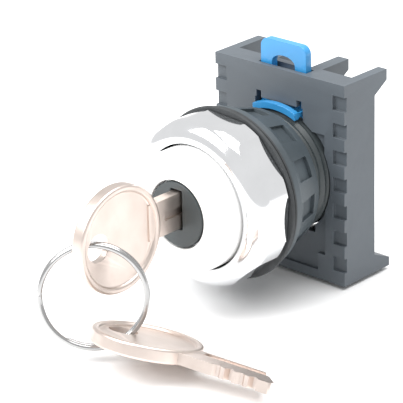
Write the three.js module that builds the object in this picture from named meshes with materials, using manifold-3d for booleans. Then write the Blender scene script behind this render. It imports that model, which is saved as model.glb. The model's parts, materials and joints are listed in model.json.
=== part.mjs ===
// A key-operated selector switch for a 22 mm panel hole, with its clip-on contact adapter and two keys.
// Millimetres. The switch's axis is Y: the panel's front surface is y = 0, the key side is -Y,
// the adapter side is +Y, +X is to the right of a person facing the panel and +Z is up.
import * as THREE from 'three';
import { mergeVertices } from 'three/addons/utils/BufferGeometryUtils.js';
import Module from 'manifold-3d';

const wasm = await Module();
wasm.setup();

// Driving dimensions
const ROUND = 36;
const SMALL_ROUND = 20;
const GAP = 0.3;
const GRID = 1e-4;
const THREAD_R = 10.75;
const HOUSING_BORE_R = 8;
const FLANGE_R = 12.3;

const GASKET = { outer: 14.86, groove: 14.2, inner: 11.2, front: -1.3 };
const BEZEL = { corner: 14.35, apothem: 13.8, flats: 8, turn: 18.5, rear: -1.5, roundStart: -5.9, front: -9.05 };
const COLLAR = { outer: 10.4, bore: 5.85, barrelBore: 8, front: -13, rear: -4, edge: 0.9 };
const LOCK = { faceR: 5.55, plugR: 5.2, plugBore: 5.45, barrelR: 7.7, tailHalf: 2, tailBore: 3.2 };
const KEYWAY = { half: 1.2, low: -2.45, high: 4.35 };
const WAFERS = { count: 5, first: -10, pitch: 2.2, thickness: 0.8, slot: 1.4, halfWidth: 2.6 };
const CAM = { outer: 7.7, inner: 4.2, base: 7.5, low: 9.8, travel: 1.6 };
const PLUNGER = { x: 6, headR: 1.5, stemR: 0.95, nose: 10.25, end: 18 };
const NUT = { rimR: 14.2, tailR: 12, bore: 11.1, front: 0.3, rimEnd: 1.7, rear: 8.5, pockets: 12 };
const LATCH = { half: 4.9, front: 13.8, rear: 15.2, top: 22.2, grip: 10.2, corner: 1.5 };
const ADAPTER = {
  half: 14.1, top: 17.91, bottom: -17.74, front: 12.5, rear: 16.7, wallEnd: 20.45, armEnd: 23.6, footEnd: 24.44,
  hole: 11.05,
};
const KEY = {
  bowR: 9, rimHalf: 1.2, panelR: 8.2, panelShift: 0.45, panelHalf: 0.65, holeR: 2.35, holeOffset: 4.7,
  bladeHalf: 0.9, bladeLow: -2.55, bladeHigh: 3.65, longEdge: 25.1, shortEdge: 20.5,
};
const KEY_BOW = new THREE.Vector3(0, -26.8, 0.4);
const SPARE = {
  bow: new THREE.Vector3(8.18, -29.2, -14.32),
  blade: new THREE.Vector3(0.99, 0.135, -0.049),
  across: new THREE.Vector3(-0.143, 0.937, -0.319),
};
const RING = {
  centre: new THREE.Vector3(0.02, -32.52, -7.55),
  normal: new THREE.Vector3(0.672, -0.733, 0.108),
  radius: 8.45, wire: 0.4, coilOffset: 0.45, crossover: 250,
};

// Materials
function material(color, roughness, metalness) {
  return new THREE.MeshStandardMaterial({ color, roughness, metalness });
}
const chrome = material(0xe4e6e8, 0.12, 1);
const whitePlastic = material(0xf2f2f0, 0.35, 0);
const blackPlastic = material(0x33383b, 0.45, 0);
const nutPlastic = material(0x4a5052, 0.5, 0);
const greyPlastic = material(0x666b73, 0.55, 0);
const bluePlastic = material(0x2d93dc, 0.35, 0);
const rubber = material(0x2b2d2e, 0.8, 0);
const zinc = material(0x9a9c9f, 0.4, 1);
const brass = material(0xc9a657, 0.35, 1);
const nickel = material(0xcfc0b4, 0.3, 1);
const steel = material(0xb9bcc0, 0.3, 1);

// A geometry's triangles as a closed solid, with its faces pointing out and its points on a fine grid,
// so that faces meant to lie in one plane do
function toSolid(geometry) {
  const bare = geometry.clone();
  bare.deleteAttribute('normal');
  bare.deleteAttribute('uv');
  const merged = mergeVertices(bare, 1e-4);
  const place = merged.getAttribute('position');
  place.array.set(place.array.map((value) => Math.round(value / GRID) * GRID));
  const corner = [0, 1, 2].map(() => new THREE.Vector3());
  const triangles = [];
  let volume = 0;
  for (let i = 0; i < merged.index.count; i += 3) {
    const face = [0, 1, 2].map((k) => merged.index.getX(i + k));
    if (new Set(face).size < 3) continue;
    corner.forEach((point, k) => point.fromBufferAttribute(place, face[k]));
    volume += corner[0].dot(corner[1].clone().cross(corner[2]));
    triangles.push(face);
  }
  const triVerts = new Uint32Array(triangles.map((face) => (volume < 0 ? [...face].reverse() : face)).flat());
  return new wasm.Manifold(new wasm.Mesh({ numProp: 3, vertProperties: new Float32Array(place.array), triVerts }));
}

function toGeometry(solid) {
  const mesh = solid.getMesh();
  const geometry = new THREE.BufferGeometry();
  geometry.setAttribute('position', new THREE.BufferAttribute(mesh.vertProperties, 3));
  geometry.setIndex(new THREE.BufferAttribute(mesh.triVerts, 1));
  geometry.computeVertexNormals();
  return geometry;
}

// A turned body about the Y axis, from [radius, y] points that end on the axis or close on themselves
function turned(points, segments = ROUND) {
  const profile = points.map(([radius, y]) => new THREE.Vector2(radius, y));
  if (points[0][0] > 0) profile.push(profile[0].clone());
  return toSolid(new THREE.LatheGeometry(profile, segments));
}

function rod(radius, y0, y1, x = 0, z = 0, segments = SMALL_ROUND) {
  const geometry = new THREE.CylinderGeometry(radius, radius, y1 - y0, segments);
  return toSolid(geometry.translate(x, (y0 + y1) / 2, z));
}

function block([x0, x1], [y0, y1], [z0, z1]) {
  const geometry = new THREE.BoxGeometry(x1 - x0, y1 - y0, z1 - z0);
  return toSolid(geometry.translate((x0 + x1) / 2, (y0 + y1) / 2, (z0 + z1) / 2));
}

// An outline in X and Z, given thickness from y0 to y1
function slab(outline, y0, y1, curveSegments = 8) {
  const geometry = new THREE.ExtrudeGeometry(outline, { depth: y1 - y0, bevelEnabled: false, curveSegments });
  return toSolid(geometry.rotateX(Math.PI / 2).translate(0, y1, 0));
}

// An outline in Y and Z, given thickness from x0 to x1
function sidePlate(points, x0, x1) {
  const outline = new THREE.Shape(points.map(([y, z]) => new THREE.Vector2(y, z)));
  const geometry = new THREE.ExtrudeGeometry(outline, { depth: x1 - x0, bevelEnabled: false });
  return toSolid(geometry.rotateX(Math.PI / 2).rotateZ(Math.PI / 2).translate(x0, 0, 0));
}

function polygon(points) {
  return new THREE.Shape(points.map(([x, z]) => new THREE.Vector2(x, z)));
}

// A round wire that follows a path
function wireAlong(path, steps, wireRadius, sides) {
  const section = new THREE.Shape();
  section.absarc(0, 0, wireRadius, 0, Math.PI * 2);
  const options = { steps, extrudePath: path, curveSegments: sides / 2 };
  return toSolid(new THREE.ExtrudeGeometry(section, options));
}

class Helix extends THREE.Curve {
  constructor(radius, length, turns) {
    super();
    Object.assign(this, { radius, length, turns });
  }

  getPoint(t, target = new THREE.Vector3()) {
    const angle = t * this.turns * Math.PI * 2;
    return target.set(this.radius * Math.cos(angle), t * this.length, this.radius * Math.sin(angle));
  }
}

function coilSpring(radius, length, turns, wireRadius) {
  return wireAlong(new Helix(radius, length, turns), Math.round(turns * 9), wireRadius, 6);
}

// Panel side: gasket, bezel and collar
function panelGasket() {
  const { outer, groove, inner, front } = GASKET;
  return turned([
    [inner, front], [outer - 0.2, front], [outer, front + 0.2], [outer, front + 0.5], [groove, front + 0.65],
    [groove, front + 0.8], [outer - 0.3, front + 0.9], [outer - 0.3, 0], [inner, 0],
  ]);
}

function bezelRing() {
  const { corner, apothem, flats, turn, rear, roundStart, front } = BEZEL;
  const bore = THREAD_R;
  const lip = bore + 0.25;
  const points = [[FLANGE_R + GAP, rear], [corner, rear]];
  const arcSteps = 8;
  for (let i = 0; i <= arcSteps; i += 1) {
    const angle = (i / arcSteps) * (Math.PI / 2);
    points.push([lip + (corner - lip) * Math.cos(angle), roundStart + (front - roundStart) * Math.sin(angle)]);
  }
  points.push([bore, front + 0.25], [bore, COLLAR.rear], [FLANGE_R + GAP, COLLAR.rear]);
  const acrossCorners = apothem / Math.cos(Math.PI / flats);
  const octagon = [];
  for (let i = 0; i < flats; i += 1) {
    const angle = THREE.MathUtils.degToRad(turn) + (i / flats) * Math.PI * 2;
    octagon.push([acrossCorners * Math.cos(angle), acrossCorners * Math.sin(angle)]);
  }
  return turned(points).intersect(slab(polygon(octagon), front - 1, rear + 1));
}

function frontCollar() {
  const { outer, bore, barrelBore, front, rear, edge } = COLLAR;
  const step = -11.6;
  const points = [[bore, front], [outer - edge, front]];
  for (let i = 1; i <= 3; i += 1) {
    const angle = (i / 3) * (Math.PI / 2);
    points.push([outer - edge + edge * Math.sin(angle), front + edge - edge * Math.cos(angle)]);
  }
  points.push([outer, rear], [barrelBore, rear], [barrelBore, step], [bore, step]);
  return turned(points);
}

// Lock: face, plug with its wafers, and barrel
function keySlot(y0, y1) {
  return block([-KEYWAY.half, KEYWAY.half], [y0, y1], [KEYWAY.low, KEYWAY.high]);
}

function lockFace() {
  return rod(LOCK.faceR, COLLAR.front, COLLAR.front + 1, 0, 0, ROUND).subtract(keySlot(-14, -11));
}

function waferY(index) {
  return WAFERS.first + index * WAFERS.pitch;
}

function lockPlug() {
  const bodyEnd = 4.6;
  let plug = rod(LOCK.plugR, -11.7, bodyEnd, 0, 0, 32);
  plug = plug.subtract(keySlot(-12, -0.8));
  for (let i = 0; i < WAFERS.count; i += 1) {
    const slotX = WAFERS.halfWidth + GAP;
    const y = waferY(i);
    plug = plug.subtract(block([-slotX, slotX], [y - WAFERS.slot / 2, y + WAFERS.slot / 2], [-6, 6]));
  }
  const tail = block([-LOCK.tailHalf, LOCK.tailHalf], [bodyEnd - 0.5, 9.2], [-LOCK.tailHalf, LOCK.tailHalf]);
  return plug.add(tail);
}

function wafer(index) {
  const y = waferY(index);
  const half = WAFERS.thickness / 2;
  const disc = rod(LOCK.plugR - 0.15, y - half, y + half, 0, 0, 32);
  const plate = block([-WAFERS.halfWidth, WAFERS.halfWidth], [y - 1, y + 1], [-6, 6]);
  return disc.intersect(plate).subtract(keySlot(y - 1, y + 1));
}

function lockBarrel() {
  const { barrelR, plugBore, tailBore } = LOCK;
  return turned([
    [plugBore, -11.3], [barrelR, -11.3], [barrelR, 5.9], [tailBore, 5.9], [tailBore, 4.9], [plugBore, 4.9],
  ], 32);
}

function barrelSeal() {
  const centre = 8.55;
  const section = 0.72;
  const points = [];
  const sides = 6;
  for (let i = 0; i < sides; i += 1) {
    const angle = (i / sides) * Math.PI * 2;
    points.push([centre + section * Math.cos(angle), -2.86 + section * Math.sin(angle)]);
  }
  return turned(points, 28);
}

// Body: housing with its thread and latch groove, and the clip that holds the lock barrel
function operatorHousing() {
  const groove = { r: 9.9, y0: 13.5, y1: 15.5 };
  const clipGroove = { r: 9, y0: 6.1, y1: 7.1 };
  const wall = { y0: 14.2, y1: 16.5 };
  const body = turned([
    [0, wall.y1], [THREAD_R - 0.4, wall.y1], [THREAD_R, wall.y1 - 0.4], [THREAD_R, groove.y1], [groove.r, groove.y1],
    [groove.r, groove.y0], [THREAD_R, groove.y0], [THREAD_R, -1.7], [FLANGE_R, -1.7], [FLANGE_R, -3.7],
    [9.4, -3.7], [9.4, -2], [HOUSING_BORE_R, -2], [HOUSING_BORE_R, clipGroove.y0], [clipGroove.r, clipGroove.y0],
    [clipGroove.r, clipGroove.y1], [HOUSING_BORE_R, clipGroove.y1], [HOUSING_BORE_R, wall.y0], [0, wall.y0],
  ]);
  const plungerHole = PLUNGER.stemR + GAP;
  return body
    .subtract(rod(plungerHole, 13, 18, -PLUNGER.x))
    .subtract(rod(plungerHole, 13, 18, PLUNGER.x))
    .subtract(rod(2.3, 13, 18));
}

function barrelClip() {
  const ring = turned([[7, 6.25], [8.7, 6.25], [8.7, 6.95], [7, 6.95]], 32);
  return ring.subtract(block([-2, 2], [5, 8], [-10, 0]));
}

// Cam: two ramps a half turn apart push both plungers back over a quarter turn
function camRotor() {
  const steps = 32;
  const heightAt = (turn) => {
    const quarter = (turn * 4) % 2;
    return CAM.low + CAM.travel * Math.abs(1 - quarter);
  };
  const positions = [];
  const index = [];
  for (let i = 0; i < steps; i += 1) {
    const angle = (i / steps) * Math.PI * 2;
    const top = heightAt(i / steps);
    for (const [radius, y] of [[CAM.inner, CAM.base + 1], [CAM.outer, CAM.base + 1], [CAM.outer, top], [CAM.inner, top]]) {
      positions.push(radius * Math.sin(angle), y, radius * Math.cos(angle));
    }
    const next = ((i + 1) % steps) * 4;
    for (let side = 0; side < 4; side += 1) {
      const a = i * 4 + side;
      const b = i * 4 + ((side + 1) % 4);
      const c = next + ((side + 1) % 4);
      const d = next + side;
      index.push(a, b, c, a, c, d);
    }
  }
  const ramp = new THREE.BufferGeometry();
  ramp.setAttribute('position', new THREE.Float32BufferAttribute(positions, 3));
  ramp.setIndex(index);
  const base = rod(CAM.outer, CAM.base, CAM.base + 1.5, 0, 0, 32);
  const hub = rod(3.6, CAM.base, 10.6);
  const pivot = rod(2, 10, 15.5);
  const socketHalf = LOCK.tailHalf + 0.15;
  const socket = block([-socketHalf, socketHalf], [CAM.base - 1, 9.4], [-socketHalf, socketHalf]);
  return toSolid(ramp).add(base).add(hub).add(pivot).subtract(socket);
}

function plunger(x) {
  const head = turned([
    [0, PLUNGER.nose], [0.7, PLUNGER.nose + 0.1], [1.2, PLUNGER.nose + 0.35], [PLUNGER.headR, PLUNGER.nose + 0.8],
    [PLUNGER.headR, 11.35], [PLUNGER.stemR, 11.35], [PLUNGER.stemR, PLUNGER.end - 0.3],
    [PLUNGER.stemR - 0.3, PLUNGER.end], [0, PLUNGER.end],
  ], 16);
  return head.translate([x, 0, 0]);
}

function plungerSpring(x) {
  return coilSpring(1.3, 2.1, 3, 0.15).translate([x, 11.65, 0]);
}

// Nut: a tapered ring with grip pockets round it
function ringNut() {
  const { rimR, tailR, bore, front, rimEnd, rear, pockets } = NUT;
  let nut = turned([
    [bore, front], [rimR - 0.2, front], [rimR, front + 0.2], [rimR, rimEnd], [rimR - 0.5, rimEnd + 0.3],
    [tailR + 0.2, rear - 0.9], [tailR, rear], [bore, rear],
  ]);
  const slope = Math.atan2(rimR - 0.5 - tailR - 0.2, rear - 0.9 - rimEnd - 0.3);
  const depth = 0.7;
  for (let i = 0; i < pockets; i += 1) {
    const tool = new THREE.BoxGeometry(3.6, 4.2, 3);
    tool.rotateX(-slope);
    tool.translate(0, 4.9, (rimR - 0.5 + tailR + 0.2) / 2 - depth + 1.5);
    tool.rotateY((i / pockets) * Math.PI * 2 + 0.1);
    nut = nut.subtract(toSolid(tool));
  }
  return nut;
}

// Adapter: front wall, three contact-block bays between four arms, foot, and the latch's guide
function adapterFrame() {
  const { half, top, bottom, front, rear, wallEnd, armEnd, footEnd, hole } = ADAPTER;
  const root = rear - 0.5;
  const armRoot = top - 3.83;
  const armTip = top - 1.9;
  let frame = block([-half, half], [front, rear], [bottom, top]);
  const wall = [[root, bottom], [wallEnd, bottom], [wallEnd, armRoot], [armEnd, armTip], [armEnd, top], [root, top]];
  const arm = [[root, armRoot - 3.6], [wallEnd, armRoot], [armEnd, armTip], [armEnd, top], [root, top]];
  const foot = [[root, bottom], [footEnd, bottom], [footEnd, bottom + 1.57], [wallEnd, bottom + 3.3], [root, bottom + 3.7]];
  const rib = [[root, bottom + 3], [wallEnd, bottom + 3], [root, bottom + 7.5]];
  for (const side of [-1, 1]) {
    const outer = side > 0 ? [half - 1.85, half] : [-half, -half + 1.85];
    const inner = side > 0 ? [3.7, 6] : [-6, -3.7];
    frame = frame.add(sidePlate(wall, ...outer)).add(sidePlate(arm, ...inner)).add(sidePlate(rib, ...inner));
  }
  frame = frame.add(sidePlate(foot, -half, half));
  frame = frame.subtract(rod(hole, front - 1, rear + 1, 0, 0, ROUND));
  frame = frame.subtract(adapterFaceCuts()).subtract(latchGuide());
  const springPeg = block([-0.8, 0.8], [LATCH.front - 0.6, LATCH.rear + 0.6], [15.3, 15.75]);
  return frame.add(springPeg);
}

function adapterFaceCuts() {
  const { half, front, top } = ADAPTER;
  const recess = [[-9.8, 8.4], [-9.8, -13], [-8.2, -13], [-8.2, -16.1], [8.2, -16.1], [8.2, -13], [9.8, -13], [9.8, 8.4]];
  let cuts = slab(polygon(recess), front - 1, front + 0.6);
  const notch = { count: 7, pitch: 4.76, height: 2.5, inner: 11.6, depth: 0.6 };
  for (let i = 0; i < notch.count; i += 1) {
    const high = top - 2.1 - i * notch.pitch;
    for (const side of [-1, 1]) {
      const x = side > 0 ? [notch.inner, half + 1] : [-half - 1, -notch.inner];
      cuts = cuts.add(block(x, [front - 1, front + notch.depth], [high - notch.height, high]));
    }
  }
  return cuts.add(block([5.6, 7.2], [front - 1, front + 2], [-9.7, -8.35]));
}

function latchGuide() {
  const { front, top } = ADAPTER;
  const skin = LATCH.front - GAP;
  let guide = block([-LATCH.half - GAP, LATCH.half + GAP], [skin, LATCH.rear + GAP], [8, top + 1]);
  guide = guide.add(block([-5.2, 5.2], [front - 1, skin + 0.5], [8, 12]));
  for (const side of [-1, 1]) {
    const x = side > 0 ? [3.9, 4.9] : [-4.9, -3.9];
    guide = guide.add(block(x, [front - 1, skin + 0.5], [11.5, 13.2]));
  }
  return guide;
}

// Latch: a sliding plate that grips the housing's groove, with a pull tab and a release lip
function latchSlide() {
  const { half, front, rear, top, grip, corner } = LATCH;
  const outline = new THREE.Shape();
  outline.moveTo(-half, 7);
  outline.lineTo(half, 7);
  outline.lineTo(half, top - corner);
  outline.absarc(half - corner, top - corner, corner, 0, Math.PI / 2);
  outline.absarc(-half + corner, top - corner, corner, Math.PI / 2, Math.PI);
  const finger = { half: 2.5, low: 16.9, high: 19.8 };
  const eye = new THREE.Path();
  eye.moveTo(-finger.half, finger.low);
  eye.lineTo(finger.half, finger.low);
  eye.absellipse(0, finger.low + 1.5, finger.half, finger.high - finger.low - 1.5, 0, Math.PI);
  outline.holes.push(eye);
  let slide = slab(outline, front, rear, 4);
  slide = slide.subtract(rod(grip, front - 1, rear + 1, 0, 0, 64));
  slide = slide.subtract(block([-1.1, 1.1], [front - 1, rear + 1], [12.6, 16]));
  const lip = turned([[11.1, 11.1], [12.2, 11.1], [12.2, 12.2], [11.1, 12.2]], 72);
  slide = slide.add(lip.intersect(block([-4.6, 4.6], [10, 13], [5, 13])));
  for (const x of [[-4.6, -4.2], [4.2, 4.6]]) {
    slide = slide.add(block(x, [12, front + 0.4], [10.4, 11.2]));
  }
  return slide;
}

function latchSpring() {
  return coilSpring(0.6, 1.94, 3.5, 0.13).rotate([90, 0, 0]).translate([0, 14.5, 13.03]);
}

// Key: a round bow with a sunk panel each side, and a flat blade with shallow cuts and a slanting tip.
// Its own frame has the bow's centre at the origin, the blade along +Y and its thickness along X.
function keySolid() {
  const acrossX = (radius, half, y, z, segments) => {
    const geometry = new THREE.CylinderGeometry(radius, radius, half * 2, segments);
    return toSolid(geometry.rotateZ(Math.PI / 2).translate(0, y, z));
  };
  let key = acrossX(KEY.bowR, KEY.rimHalf, 0, 0, ROUND);
  for (const side of [-1, 1]) {
    const sunk = acrossX(KEY.panelR, 1, KEY.panelShift, 0, 32).translate([side * (KEY.panelHalf + 1), 0, 0]);
    key = key.subtract(sunk);
  }
  const blade = [
    [6.5, KEY.bladeLow], [KEY.shortEdge, KEY.bladeLow], [KEY.longEdge, KEY.bladeHigh - 1.2],
    [KEY.longEdge, KEY.bladeHigh], [6.5, KEY.bladeHigh],
  ];
  key = key.add(sidePlate(blade, -KEY.bladeHalf, KEY.bladeHalf));
  const groove = [[10.4, -2.2], [30, -2.2], [30, -1.15], [10.4, -1.15]];
  key = key.subtract(sidePlate(groove, -2, -0.45)).subtract(sidePlate(groove, 0.45, 2));
  const cutDepths = [0.5, 0.9, 0.4, 0.8];
  cutDepths.forEach((depth, i) => {
    const y = 15.4 + i * WAFERS.pitch;
    const edge = KEY.bladeHigh;
    const cut = [[y - 0.8, edge + 0.3], [y - 0.3, edge - depth], [y + 0.3, edge - depth], [y + 0.8, edge + 0.3]];
    key = key.subtract(sidePlate(cut, -2, 2));
  });
  return key.subtract(acrossX(KEY.holeR, 2, -KEY.holeOffset, 0, SMALL_ROUND));
}

// Split ring: two coils side by side, with one crossover
class SplitRingPath extends THREE.Curve {
  getPoint(t, target = new THREE.Vector3()) {
    const turn = 30 + t * 660;
    const shift = THREE.MathUtils.smoothstep(turn, 335, 385);
    const angle = THREE.MathUtils.degToRad(turn + RING.crossover);
    const along = (shift * 2 - 1) * RING.coilOffset;
    return target.set(RING.radius * Math.cos(angle), RING.radius * Math.sin(angle), along);
  }
}

function addPiece(parent, name, solid, look) {
  const mesh = new THREE.Mesh(toGeometry(solid), look);
  mesh.name = name;
  parent.add(mesh);
  return mesh;
}

const keySwitch = new THREE.Group();

const panelSide = new THREE.Group();
keySwitch.add(panelSide);
addPiece(panelSide, 'panel_gasket', panelGasket(), rubber);
addPiece(panelSide, 'bezel_ring', bezelRing(), chrome);
addPiece(panelSide, 'front_collar', frontCollar(), whitePlastic);

const lock = new THREE.Group();
keySwitch.add(lock);
addPiece(lock, 'lock_face', lockFace(), blackPlastic);
addPiece(lock, 'lock_plug', lockPlug(), zinc);
for (let i = 0; i < WAFERS.count; i += 1) {
  addPiece(lock, `wafer_${i + 1}`, wafer(i), brass);
}
addPiece(lock, 'lock_barrel', lockBarrel(), zinc);
addPiece(lock, 'barrel_seal', barrelSeal(), rubber);
addPiece(lock, 'barrel_clip', barrelClip(), steel);

const body = new THREE.Group();
keySwitch.add(body);
addPiece(body, 'operator_housing', operatorHousing(), blackPlastic);
addPiece(body, 'cam_rotor', camRotor(), whitePlastic);
for (const [side, x] of [['left', -PLUNGER.x], ['right', PLUNGER.x]]) {
  addPiece(body, `plunger_${side}`, plunger(x), whitePlastic);
  addPiece(body, `plunger_spring_${side}`, plungerSpring(x), steel);
}
addPiece(body, 'ring_nut', ringNut(), nutPlastic);

const adapter = new THREE.Group();
keySwitch.add(adapter);
addPiece(adapter, 'adapter_frame', adapterFrame(), greyPlastic);
addPiece(adapter, 'latch_slide', latchSlide(), bluePlastic);
addPiece(adapter, 'latch_spring', latchSpring(), steel);

const keys = new THREE.Group();
keySwitch.add(keys);
const key = addPiece(keys, 'key', keySolid(), nickel);
key.position.copy(KEY_BOW);

const spareKey = addPiece(keys, 'spare_key', keySolid(), nickel);
const spareBlade = SPARE.blade.clone().normalize();
const spareFace = spareBlade.clone().cross(SPARE.across).normalize().negate();
const spareUp = spareFace.clone().cross(spareBlade);
spareKey.applyMatrix4(new THREE.Matrix4().makeBasis(spareFace, spareBlade, spareUp));
spareKey.position.copy(SPARE.bow);

const splitRing = addPiece(keys, 'split_ring', wireAlong(new SplitRingPath(), 60, RING.wire, 8), steel);
splitRing.position.copy(RING.centre);
splitRing.quaternion.setFromUnitVectors(new THREE.Vector3(0, 0, 1), RING.normal.clone().normalize());

export default keySwitch;
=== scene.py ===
"""A key-operated selector switch with its contact adapter and two keys, on a pale studio floor.

Blender 4.5. Shapes are drawn in millimetres, and mesh_from turns them into metres.
The switch's axis is Y: the panel's front surface is y = 0, the key side is -Y and +Z is up.
"""
import json
import math

import bmesh
import bpy
from mathutils import Matrix, Vector


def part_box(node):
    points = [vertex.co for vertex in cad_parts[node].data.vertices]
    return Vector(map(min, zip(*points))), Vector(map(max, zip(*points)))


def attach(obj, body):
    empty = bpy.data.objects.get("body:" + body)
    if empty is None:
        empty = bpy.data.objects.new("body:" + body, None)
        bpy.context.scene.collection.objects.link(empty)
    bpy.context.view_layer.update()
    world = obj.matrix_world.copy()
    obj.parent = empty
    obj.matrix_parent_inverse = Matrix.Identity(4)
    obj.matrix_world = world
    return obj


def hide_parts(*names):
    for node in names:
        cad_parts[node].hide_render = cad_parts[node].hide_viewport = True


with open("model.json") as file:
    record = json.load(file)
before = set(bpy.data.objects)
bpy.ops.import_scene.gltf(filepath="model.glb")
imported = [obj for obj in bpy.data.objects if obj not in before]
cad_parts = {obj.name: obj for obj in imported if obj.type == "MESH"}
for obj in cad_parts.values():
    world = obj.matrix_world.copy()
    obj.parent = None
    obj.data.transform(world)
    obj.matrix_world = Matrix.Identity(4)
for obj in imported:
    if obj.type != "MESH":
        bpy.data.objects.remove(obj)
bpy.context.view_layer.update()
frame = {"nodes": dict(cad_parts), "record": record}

MM = 0.001
TAU = math.tau


# ---------------------------------------------------------------- camera

def make_camera():
    """The camera that fits the switch's circles and the adapter's corners."""
    azimuth, elevation, roll = (math.radians(v) for v in (42.93, 22.3, -1.51))
    distance_mm, across_mm, up_mm = 416.4, -13.27, -5.07
    aim_y_mm = 12.5
    sensor_mm, lens_mm = 36, 221.1186
    back = Vector((
        math.sin(azimuth) * math.cos(elevation),
        -math.cos(azimuth) * math.cos(elevation),
        math.sin(elevation),
    ))
    right = Vector((math.cos(azimuth), math.sin(azimuth), 0))
    up = back.cross(right)
    place = back * distance_mm + right * across_mm + up * up_mm + Vector((0, aim_y_mm, 0))
    turned_right = right * math.cos(roll) + up * math.sin(roll)
    turned_up = up * math.cos(roll) - right * math.sin(roll)
    data = bpy.data.cameras.new("camera")
    data.sensor_width = sensor_mm
    data.lens = lens_mm
    data.clip_start = 0.01
    data.clip_end = 20
    camera = bpy.data.objects.new("camera", data)
    turn = Matrix((turned_right, turned_up, back)).transposed().to_4x4()
    camera.matrix_world = Matrix.Translation(place * MM) @ turn
    bpy.context.scene.collection.objects.link(camera)
    bpy.context.scene.camera = camera


# ---------------------------------------------------------------- materials

class Nodes:
    """A material's node tree, with short ways to add a texture, a ramp and a bump."""

    def __init__(self, name):
        self.material = bpy.data.materials.new(name)
        self.material.use_nodes = True
        self.tree = self.material.node_tree
        self.shader = self.tree.nodes["Principled BSDF"]
        self.place = self.add("ShaderNodeTexCoord").outputs["Object"]

    def add(self, kind, **values):
        node = self.tree.nodes.new(kind)
        for name, value in values.items():
            setattr(node, name, value)
        return node

    def link(self, source, target):
        self.tree.links.new(source, target)

    def noise(self, per_metre, detail=3.0, stretch=(1, 1, 1)):
        mapping = self.add("ShaderNodeMapping")
        mapping.inputs["Scale"].default_value = stretch
        self.link(self.place, mapping.inputs["Vector"])
        noise = self.add("ShaderNodeTexNoise")
        noise.inputs["Scale"].default_value = per_metre
        noise.inputs["Detail"].default_value = detail
        self.link(mapping.outputs["Vector"], noise.inputs["Vector"])
        return noise.outputs["Fac"]

    def ramp(self, source, low, high, at=(0.3, 0.7)):
        ramp = self.add("ShaderNodeValToRGB")
        ramp.color_ramp.elements[0].position = at[0]
        ramp.color_ramp.elements[1].position = at[1]
        ramp.color_ramp.elements[0].color = (*low, 1)
        ramp.color_ramp.elements[1].color = (*high, 1)
        self.link(source, ramp.inputs["Fac"])
        return ramp.outputs["Color"]

    def spread(self, source, low, high):
        span = self.add("ShaderNodeMapRange")
        span.inputs["To Min"].default_value = low
        span.inputs["To Max"].default_value = high
        self.link(source, span.inputs["Value"])
        return span.outputs["Result"]

    def mix(self, factor, first, second):
        mix = self.add("ShaderNodeMix", data_type="RGBA")
        self.link(factor, mix.inputs["Factor"])
        self.link(first, mix.inputs["A"])
        self.link(second, mix.inputs["B"])
        return mix.outputs["Result"]

    def bump(self, source, strength, distance_mm):
        bump = self.add("ShaderNodeBump")
        bump.inputs["Strength"].default_value = strength
        bump.inputs["Distance"].default_value = distance_mm * MM
        self.link(source, bump.inputs["Height"])
        self.link(bump.outputs["Normal"], self.shader.inputs["Normal"])

    def edge_highlight_and_rubbing(self, amount=0.5):
        """Rises to the amount on outer edges, and is 0 elsewhere: the mask for rubbed edges with a painted
        highlight along them.
        """
        geometry = self.add("ShaderNodeNewGeometry")
        span = self.add("ShaderNodeMapRange")
        span.inputs["From Min"].default_value = 0.52
        span.inputs["From Max"].default_value = 0.62
        span.inputs["To Max"].default_value = amount
        self.link(geometry.outputs["Pointiness"], span.inputs["Value"])
        return span.outputs["Result"]


def scaled(colour, factor):
    return tuple(min(1.0, channel * factor) for channel in colour)


def plastic(name, colour, roughness, grain=0.25, variation=0.06, coat=0.0):
    """Moulded plastic: uneven tone, fine spark-eroded grain and lighter outer edges, partly rubbed and
    partly a painted highlight.
    """
    patches_per_metre, gloss_per_metre, grains_per_metre, grain_mm = 120, 900, 9000, 0.02
    m = Nodes(name)
    patches = m.noise(patches_per_metre, 4)
    tone = m.ramp(patches, scaled(colour, 1 - variation), scaled(colour, 1 + variation))
    # Lighter outer edges: partly rubbed edges, partly a painted highlight along them.
    lit_rubbed_edge_colour = m.add("ShaderNodeRGB")
    lit_rubbed_edge_colour.outputs[0].default_value = (*scaled(colour, 1.25), 1)
    m.link(m.mix(m.edge_highlight_and_rubbing(), tone, lit_rubbed_edge_colour.outputs[0]), m.shader.inputs["Base Color"])
    gloss = m.spread(m.noise(gloss_per_metre, 2), roughness - 0.05, roughness + 0.07)
    m.link(gloss, m.shader.inputs["Roughness"])
    m.bump(m.noise(grains_per_metre, 2), grain, grain_mm)
    m.shader.inputs["Coat Weight"].default_value = coat
    return m.material


def metal(name, colour, roughness, smear=0.05, brush=0.0, tint=None, stretch=(1, 1, 1), edge_highlight_and_rubbing_amount=0.0):
    """Plated or uncoated metal: faint stains, uneven gloss, fine brushing and brighter outer edges, partly
    rubbed and partly a painted highlight.
    """
    stains_per_metre, gloss_per_metre, brush_per_metre, brush_mm = 180, 700, 2500, 0.01
    m = Nodes(name)
    m.shader.inputs["Metallic"].default_value = 1.0
    base = m.ramp(m.noise(stains_per_metre, 5), tint or scaled(colour, 0.96), scaled(colour, 1.03))
    if edge_highlight_and_rubbing_amount:
        # Brighter outer edges: partly rubbed metal, partly a painted highlight along them.
        lit_rubbed_metal_colour = m.add("ShaderNodeRGB")
        lit_rubbed_metal_colour.outputs[0].default_value = (*scaled(colour, 1 + edge_highlight_and_rubbing_amount), 1)
        base = m.mix(m.edge_highlight_and_rubbing(0.8), base, lit_rubbed_metal_colour.outputs[0])
    m.link(base, m.shader.inputs["Base Color"])
    gloss = m.spread(m.noise(gloss_per_metre, 4), max(0.02, roughness - smear), roughness + smear)
    m.link(gloss, m.shader.inputs["Roughness"])
    if brush:
        m.bump(m.noise(brush_per_metre, 3, stretch), brush, brush_mm)
    return m.material


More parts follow.
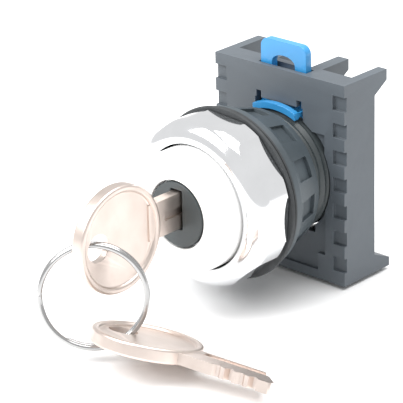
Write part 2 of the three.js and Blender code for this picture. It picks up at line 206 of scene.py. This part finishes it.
def rubber_look():
    """Matt rubber: darker and greyer patches, uneven gloss and a fine grain."""
    dark, grey = (0.022, 0.025, 0.027), (0.04, 0.044, 0.047)
    patches_per_metre, gloss_per_metre, grains_per_metre, grain_mm = 300, 1500, 6000, 0.02
    m = Nodes("gasket_rubber")
    m.link(m.ramp(m.noise(patches_per_metre, 4), dark, grey), m.shader.inputs["Base Color"])
    m.link(m.spread(m.noise(gloss_per_metre, 3), 0.55, 0.75), m.shader.inputs["Roughness"])
    m.bump(m.noise(grains_per_metre, 3), 0.3, grain_mm)
    return m.material


LOOKS = {
    "chrome_bezel": metal("bezel_chrome", (0.86, 0.87, 0.885), 0.09, smear=0.03, brush=0.03),
    "white_plastic": plastic("collar_white", (0.90, 0.90, 0.89), 0.28, grain=0.08, variation=0.012,
                             coat=0.25),
    "black_plastic": plastic("lock_black", (0.045, 0.055, 0.058), 0.42, grain=0.3),
    "nut_plastic": plastic("nut_dark_grey", (0.055, 0.07, 0.08), 0.42, grain=0.35, variation=0.12),
    "grey_plastic": plastic("adapter_grey", (0.085, 0.10, 0.115), 0.46, grain=0.35, variation=0.05),
    "blue_plastic": plastic("latch_blue", (0.035, 0.26, 0.56), 0.30, grain=0.12, variation=0.05, coat=0.3),
    "rubber": rubber_look(),
    "zinc": metal("lock_zinc", (0.55, 0.55, 0.56), 0.32, brush=0.2),
    "brass": metal("wafer_brass", (0.72, 0.55, 0.28), 0.30, brush=0.3, tint=(0.55, 0.42, 0.22)),
    "nickel_key": metal("key_nickel", (0.70, 0.61, 0.56), 0.36, smear=0.08, brush=0.25, edge_highlight_and_rubbing_amount=0.15,
                        tint=(0.62, 0.54, 0.49), stretch=(1, 0.25, 1)),
    "steel_ring": metal("ring_nickel", (0.45, 0.45, 0.45), 0.16, smear=0.05, brush=0.1),
    "steel_wire": metal("spring_steel", (0.60, 0.60, 0.61), 0.25, brush=0.2),
}


# ---------------------------------------------------------------- mesh helpers

def object_from(name, mesh):
    piece = bpy.data.objects.new(name, mesh)
    bpy.context.scene.collection.objects.link(piece)
    return piece


def mesh_from(name, points_mm, faces):
    mesh = bpy.data.meshes.new(name)
    mesh.from_pydata([Vector(p) * MM for p in points_mm], [], faces)
    mesh.validate()
    body = bmesh.new()
    body.from_mesh(mesh)
    bmesh.ops.remove_doubles(body, verts=body.verts, dist=1e-7)
    bmesh.ops.recalc_face_normals(body, faces=body.faces)
    body.to_mesh(mesh)
    body.free()
    return mesh


def turned(name, profile_mm, segments=144, radius_change=None):
    """A closed body turned about the Y axis, from (radius, y) points.

    radius_change(radius, y, angle) is added to each radius.
    """
    points, faces = [], []
    count = len(profile_mm)
    on_axis = profile_mm[0][0] == 0
    for i in range(segments):
        angle = i / segments * TAU
        for radius, y in profile_mm:
            grown = radius + (radius_change(radius, y, angle) if radius_change else 0)
            points.append((grown * math.sin(angle), y, grown * math.cos(angle)))
    last = count - 1 if on_axis else count
    for i in range(segments):
        here, there = i * count, (i + 1) % segments * count
        for j in range(last):
            k = (j + 1) % count
            corners = [here + j, here + k, there + k, there + j]
            if profile_mm[j][0] == 0:
                corners = [here + j, here + k, there + k]
            elif profile_mm[k][0] == 0:
                corners = [here + j, here + k, there + j]
            faces.append(corners)
    return object_from(name, mesh_from(name, points, faces))


def rounded(profile_mm, radius_mm, steps=4):
    """The same closed profile, with every corner of it rounded by short arcs."""
    out = []
    count = len(profile_mm)
    for i, corner in enumerate(profile_mm):
        corner = Vector(corner)
        before = Vector(profile_mm[i - 1]) - corner
        after = Vector(profile_mm[(i + 1) % count]) - corner
        reach = min(radius_mm, before.length * 0.4, after.length * 0.4)
        start = corner + before.normalized() * reach
        end = corner + after.normalized() * reach
        for k in range(steps + 1):
            t = k / steps
            out.append(tuple((1 - t) ** 2 * start + 2 * t * (1 - t) * corner + t ** 2 * end))
    return out


def prism(name, outline_mm, low_mm, high_mm, axis="Y"):
    """An outline given thickness along Y (outline in X and Z) or along X (outline in Y and Z)."""
    place = {"Y": lambda a, b, t: (a, t, b), "X": lambda a, b, t: (t, a, b)}[axis]
    count = len(outline_mm)
    points = [place(a, b, t) for t in (low_mm, high_mm) for a, b in outline_mm]
    faces = [list(range(count)), list(range(count, 2 * count))]
    for i in range(count):
        j = (i + 1) % count
        faces.append([i, j, count + j, count + i])
    return object_from(name, mesh_from(name, points, faces))


def box_piece(name, x_mm, y_mm, z_mm):
    outline = [(x_mm[0], z_mm[0]), (x_mm[1], z_mm[0]), (x_mm[1], z_mm[1]), (x_mm[0], z_mm[1])]
    return prism(name, outline, *y_mm)


def circle(radius, centre=(0, 0), segments=96, start=0.0):
    angles = [start + i / segments * TAU for i in range(segments)]
    return [(centre[0] + radius * math.cos(a), centre[1] + radius * math.sin(a)) for a in angles]


def apply_modifiers(piece):
    graph = bpy.context.evaluated_depsgraph_get()
    mesh = bpy.data.meshes.new_from_object(piece.evaluated_get(graph))
    piece.modifiers.clear()
    piece.data = mesh
    return piece


def combine(piece, tool, operation="DIFFERENCE"):
    """Cuts, joins or intersects the piece with the tool, and removes the tool."""
    change = piece.modifiers.new("combine", "BOOLEAN")
    change.operation = operation
    change.solver = "EXACT"
    change.object = tool
    apply_modifiers(piece)
    bpy.data.objects.remove(tool)
    return piece


def tidy_faces(piece, angle_deg=1.0):
    body = bmesh.new()
    body.from_mesh(piece.data)
    bmesh.ops.remove_doubles(body, verts=body.verts, dist=2e-6)
    bmesh.ops.dissolve_limit(body, angle_limit=math.radians(angle_deg), verts=body.verts, edges=body.edges)
    body.to_mesh(piece.data)
    body.free()
    return piece


def smooth(piece, sharp_deg=30):
    piece.data.shade_smooth()
    piece.data.set_sharp_from_angle(angle=math.radians(sharp_deg))
    weigh = piece.modifiers.new("normals", "WEIGHTED_NORMAL")
    weigh.keep_sharp = True
    return apply_modifiers(piece)


def soften(piece, width_mm, segments=3, angle_deg=30):
    """Rounds every edge sharper than the angle, and smooths the shading."""
    bevel = piece.modifiers.new("bevel", "BEVEL")
    bevel.width = width_mm * MM
    bevel.segments = segments
    bevel.limit_method = "ANGLE"
    bevel.angle_limit = math.radians(angle_deg)
    bevel.miter_outer = "MITER_ARC"
    bevel.use_clamp_overlap = True
    apply_modifiers(piece)
    return smooth(piece, 40)


def from_cad(name, node):
    """A copy of a CAD node's shape, with its flat faces made whole."""
    piece = object_from(name, frame["nodes"][node].data.copy())
    return tidy_faces(piece)


def finish_piece(piece, node, material_slot):
    """Gives the piece its look, and puts it in place of the CAD node, on that node's body."""
    body = next(name for name, nodes in frame["record"]["behaviour"]["bodies"].items() if node in nodes)
    piece.data.materials.clear()
    piece.data.materials.append(LOOKS[material_slot])
    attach(piece, body)
    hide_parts(node)
    return piece


# ---------------------------------------------------------------- panel side

def make_gasket():
    low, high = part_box("panel_gasket")
    front, rear, outer = low.y / MM, high.y / MM, high.z / MM
    inner = 11.2
    groove = outer - 0.7
    rear_lip = outer - 0.25
    profile = rounded([
        (inner, front), (outer - 0.15, front), (outer, front + 0.2), (outer, front + 0.5),
        (groove, front + 0.62), (groove, front + 0.8), (rear_lip, front + 0.92), (rear_lip, rear),
        (inner, rear),
    ], 0.12)
    return smooth(turned("gasket", profile, 180), 50)


def make_bezel():
    low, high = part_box("bezel_ring")
    rear, front = high.y / MM, low.y / MM
    corner, apothem, bore, round_start = 14.35, 13.8, 10.75, -5.9
    flats, first_corner_deg = 8, 18.5
    seat_r, seat_y = 12.6, -4
    lip = bore + 0.25
    profile = [(seat_r, rear), (corner - 0.15, rear), (corner, rear - 0.15)]
    arc_steps = 28
    for i in range(arc_steps + 1):
        angle = i / arc_steps * TAU / 4
        radius = lip + (corner - lip) * math.cos(angle)
        profile.append((radius, round_start + (front - round_start) * math.sin(angle)))
    profile += [(bore + 0.05, front + 0.06), (bore, front + 0.25), (bore, seat_y), (seat_r, seat_y)]
    bezel = turned("bezel", profile, 192)
    across = apothem / math.cos(math.pi / flats)
    octagon = circle(across, segments=flats, start=math.radians(first_corner_deg))
    combine(bezel, prism("octagon", octagon, front - 2, rear + 2), "INTERSECT")
    tidy_faces(bezel, 0.3)
    return soften(bezel, 0.14, 3, 14)


def make_collar():
    low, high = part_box("front_collar")
    outer, front, rear = high.z / MM, low.y / MM, high.y / MM
    bore, barrel_bore, step, edge = 5.85, 8.0, -11.6, 0.95
    profile = [(bore, front + 0.2), (bore + 0.06, front + 0.06), (bore + 0.2, front), (8.0, front)]
    for i in range(9):
        angle = i / 8 * TAU / 4
        profile.append((outer - edge + edge * math.sin(angle), front + edge - edge * math.cos(angle)))
    profile += [(outer, rear), (barrel_bore, rear), (barrel_bore, step), (bore, step)]
    return smooth(turned("collar", profile, 180), 35)


def make_lock_face():
    low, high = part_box("lock_face")
    front, rear, outer = low.y / MM, high.y / MM, high.z / MM
    face = prism("lock_disc", circle(outer), front, rear)
    slot_half, slot_low, slot_high = 1.2, -2.45, 4.35
    slot = box_piece("slot", (-slot_half, slot_half), (front - 1, rear + 1), (slot_low, slot_high))
    combine(face, slot)
    return soften(face, 0.16, 3)


# ---------------------------------------------------------------- nut and housing

def make_nut():
    low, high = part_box("ring_nut")
    front, rear, rim = low.y / MM, high.y / MM, high.z / MM
    bore, tail, pockets = 11.1, 12.0, 12
    shoulder, rim_end = rim - 0.5, 1.7
    profile = rounded([
        (bore, front), (rim, front), (rim, rim_end), (shoulder, rim_end + 0.3), (tail + 0.2, rear - 0.9),
        (tail, rear), (bore, rear),
    ], 0.2)
    nut = turned("nut", profile, 180)
    slope = math.atan2(shoulder - tail - 0.2, rear - 0.9 - rim_end - 0.3)
    middle_y = 4.9
    middle_r = (shoulder + tail + 0.2) / 2
    depth, half_width, half_length = 0.7, 1.8, 2.1
    for i in range(pockets):
        tool = box_piece("pocket", (-half_width, half_width), (-half_length, half_length), (-depth, 2))
        place = Matrix.Rotation(i / pockets * TAU + 0.1, 4, "Y")
        place = place @ Matrix.Translation(Vector((0, middle_y, middle_r)) * MM)
        tool.data.transform(place @ Matrix.Rotation(-slope, 4, "X"))
        combine(nut, tool)
    tidy_faces(nut, 0.3)
    return soften(nut, 0.12, 2, 25)


def make_housing():
    """The housing, with a real helical thread on the stretch that shows behind the nut."""
    thread_r, flange_r, bore_r, groove_r = 10.75, 12.3, 8.0, 9.9
    end_y, wall_y, chamfer = 16.5, 14.2, 0.4
    groove_start, groove_end = 13.5, 15.5
    flange_y, front_y, seal_r, seal_y = -1.7, -3.7, 9.4, -2
    clip_r, clip_start, clip_end = 9, 6.1, 7.1
    pitch, depth, thread_end, runout = 1.5, 0.45, 12.6, 0.6
    steps = 56
    profile = [
        (0, end_y), (thread_r - chamfer, end_y), (thread_r, end_y - chamfer), (thread_r, groove_end),
        (groove_r, groove_end), (groove_r, groove_start), (thread_r, groove_start),
    ]
    for i in range(steps + 1):
        profile.append((thread_r, thread_end + (flange_y - thread_end) * i / steps))
    profile += [
        (flange_r, flange_y), (flange_r, front_y), (seal_r, front_y), (seal_r, seal_y), (bore_r, seal_y),
        (bore_r, clip_start), (clip_r, clip_start), (clip_r, clip_end), (bore_r, clip_end), (bore_r, wall_y),
        (0, wall_y),
    ]

    def thread(radius, y, angle):
        if radius != thread_r or not flange_y + 0.1 < y < thread_end - 0.1:
            return 0
        phase = (y / pitch + angle / TAU) % 1
        return -depth * (1 - abs(2 * phase - 1)) * min(1, (thread_end - y) / runout)

    housing = turned("housing", profile, 120, thread)
    plunger_hole_r, plunger_x, pivot_hole_r = 1.25, 6.0, 2.3
    for x in (-plunger_x, plunger_x):
        combine(housing, prism("hole", circle(plunger_hole_r, (x, 0), 32), wall_y - 1.2, end_y + 1.5))
    combine(housing, prism("hole", circle(pivot_hole_r, (0, 0), 40), wall_y - 1.2, end_y + 1.5))
    return smooth(housing, 30)


# ---------------------------------------------------------------- adapter and latch

def make_adapter():
    return soften(from_cad("adapter", "adapter_frame"), 0.18, 2, 30)


def make_latch():
    return soften(from_cad("latch", "latch_slide"), 0.22, 3, 30)


# ---------------------------------------------------------------- keys and ring

def key_shape(name):
    """A key in its own frame: bow centre at the origin, blade along +Y, thickness along X."""
    bow_r, rim_half, panel_r, panel_half = 9.0, 1.2, 7.9, 0.65
    hole_r, hole_y = 2.35, -4.7
    blade_half, blade_low, blade_high, long_edge, short_edge = 0.9, -2.55, 3.65, 25.1, 20.5
    section = [(0, panel_half), (panel_r - 0.35, panel_half), (panel_r - 0.1, panel_half + 0.12),
               (panel_r, panel_half + 0.35), (panel_r + 0.12, rim_half - 0.1), (panel_r + 0.3, rim_half)]
    for i in range(7):
        angle = i / 6 * TAU / 4
        section.append((bow_r - 0.45 + 0.45 * math.sin(angle), rim_half - 0.45 + 0.45 * math.cos(angle)))
    section += [(r, -t) for r, t in reversed(section)]
    bow = turned(name, section, 128)
    bow.data.transform(Matrix.Rotation(TAU / 4, 4, "Z"))
    blade_root, first_cut, pitch, cut_depths = 6.5, 15.4, 2.2, (0.5, 0.9, 0.4, 0.8)
    outline = [
        (blade_root, blade_low), (short_edge, blade_low), (long_edge, blade_high - 1.2),
        (long_edge, blade_high - 0.3), (long_edge - 0.3, blade_high),
    ]
    for i, depth in reversed(list(enumerate(cut_depths))):
        y = first_cut + i * pitch
        floor = blade_high - depth
        outline += [(y + 0.75, blade_high), (y + 0.3, floor), (y - 0.3, floor), (y - 0.75, blade_high)]
    outline.append((blade_root, blade_high))
    blade = prism("blade", outline, -blade_half, blade_half, "X")
    groove_half, groove_z, groove_apart, groove_depth = 0.7, -0.3, 0.9, 0.45
    groove_start, groove_end = 10.2, 27
    for side in (-1, 1):
        low, high = (groove_z + side * groove_apart + edge * groove_half for edge in (-1, 1))
        section = [(groove_start, low), (groove_end, low), (groove_end, high), (groove_start, high)]
        groove = prism("groove", section, side * (blade_half - groove_depth), side * (blade_half + 1), "X")
        combine(blade, groove)
    combine(bow, blade, "UNION")
    combine(bow, prism("hole", circle(hole_r, (hole_y, 0), 64), -3, 3, "X"))
    tidy_faces(bow, 0.3)
    return soften(bow, 0.12, 3, 28)


def make_keys():
    key = key_shape("key_in_lock")
    spare = object_from("key_spare", key.data.copy())
    bow_r = 9
    bow_low, bow_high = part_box("key")
    bow_centre = Vector((0, bow_low.y + bow_r * MM, (bow_low.z + bow_high.z) / 2))
    key.data.transform(Matrix.Translation(bow_centre))
    blade = Vector((0.99, 0.135, -0.049)).normalized()
    across = Vector((-0.143, 0.937, -0.319))
    face = -blade.cross(across).normalized()
    turn = Matrix((face, blade, face.cross(blade))).transposed().to_4x4()
    spare_bow = Vector((8.18, -29.2, -14.32)) * MM
    spare.data.transform(Matrix.Translation(spare_bow) @ turn)
    return key, spare


def make_split_ring():
    """Two coils of round wire side by side, with one crossover and rounded ends."""
    radius, wire, offset, crossover = 8.45, 0.45, 0.46, 250
    centre = Vector((0.02, -32.52, -7.55))
    normal = Vector((0.672, -0.733, 0.108)).normalized()
    start_deg, sweep_deg, cross_from_deg, cross_over_deg = 30, 660, 335, 50
    steps, sides, rounded_steps = 300, 16, 3
    points, faces = [], []
    for i in range(steps + 1):
        turn = start_deg + i / steps * sweep_deg
        t = min(1, max(0, (turn - cross_from_deg) / cross_over_deg))
        along = (t * t * (3 - 2 * t) * 2 - 1) * offset
        angle = math.radians(turn + crossover)
        outward = Vector((math.cos(angle), math.sin(angle), 0))
        middle = outward * radius + Vector((0, 0, along))
        end = min(i, steps - i)
        inset = max(0, rounded_steps - end) / (rounded_steps + 0.2)
        size = wire * math.sqrt(1 - inset ** 2)
        for k in range(sides):
            a = k / sides * TAU
            points.append(middle + outward * size * math.cos(a) + Vector((0, 0, size * math.sin(a))))
    for i in range(steps):
        for k in range(sides):
            n = (k + 1) % sides
            faces.append([i * sides + k, i * sides + n, (i + 1) * sides + n, (i + 1) * sides + k])
    faces.append(list(range(sides)))
    faces.append([steps * sides + k for k in range(sides)])
    ring = object_from("ring", mesh_from("ring", points, faces))
    turn = Vector((0, 0, 1)).rotation_difference(normal).to_matrix().to_4x4()
    ring.data.transform(Matrix.Translation(centre * MM) @ turn)
    return smooth(ring, 60)


# ---------------------------------------------------------------- stage

def make_stage(floor_z):
    half = 900
    corners = [(-half, -half, 0), (half, -half, 0), (half, half, 0), (-half, half, 0)]
    floor = object_from("floor", mesh_from("floor", corners, [[0, 1, 2, 3]]))
    floor.location.z = floor_z
    look = Nodes("floor_white")
    tone = look.ramp(look.noise(8, 2), (0.93, 0.93, 0.93), (0.95, 0.95, 0.95))
    look.link(tone, look.shader.inputs["Base Color"])
    look.shader.inputs["Roughness"].default_value = 0.35
    floor.data.materials.append(look.material)


def area_light(name, place_m, aim_m, size_m, power_w):
    data = bpy.data.lights.new(name, "AREA")
    data.shape = "RECTANGLE"
    data.size, data.size_y = size_m
    data.energy = power_w
    light = bpy.data.objects.new(name, data)
    light.location = place_m
    light.rotation_euler = (Vector(aim_m) - Vector(place_m)).to_track_quat("-Z", "Y").to_euler()
    bpy.context.scene.collection.objects.link(light)


def make_lights():
    world = bpy.data.worlds.new("studio")
    world.use_nodes = True
    background = world.node_tree.nodes["Background"]
    background.inputs["Color"].default_value = (1, 1, 1, 1)
    background.inputs["Strength"].default_value = 0.85
    bpy.context.scene.world = world
    aim_m = (0, -0.005, 0)
    area_light("key_light", (-0.25, -0.45, 0.55), aim_m, (0.5, 0.5), 6.0)
    area_light("top_light", (0.1, 0.1, 0.7), aim_m, (0.6, 0.6), 5.0)
    bpy.context.scene.view_settings.view_transform = "Standard"


# ---------------------------------------------------------------- assembly

make_camera()
finish_piece(make_gasket(), "panel_gasket", "rubber")
finish_piece(make_bezel(), "bezel_ring", "chrome_bezel")
finish_piece(make_collar(), "front_collar", "white_plastic")
finish_piece(make_lock_face(), "lock_face", "black_plastic")
finish_piece(make_nut(), "ring_nut", "nut_plastic")
finish_piece(make_housing(), "operator_housing", "black_plastic")
finish_piece(make_adapter(), "adapter_frame", "grey_plastic")
finish_piece(make_latch(), "latch_slide", "blue_plastic")
key_piece, spare_piece = make_keys()
finish_piece(key_piece, "key", "nickel_key")
finish_piece(spare_piece, "spare_key", "nickel_key")
finish_piece(make_split_ring(), "split_ring", "steel_ring")

for row in frame["record"]["subparts"]:
    cad_piece = frame["nodes"][row["node"]]
    if not cad_piece.hide_render:
        cad_piece.data.materials.clear()
        cad_piece.data.materials.append(LOOKS[row["material_slot"]])

floor_gap_mm = 0.02
make_stage(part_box("spare_key")[0].z - floor_gap_mm * MM)
make_lights()
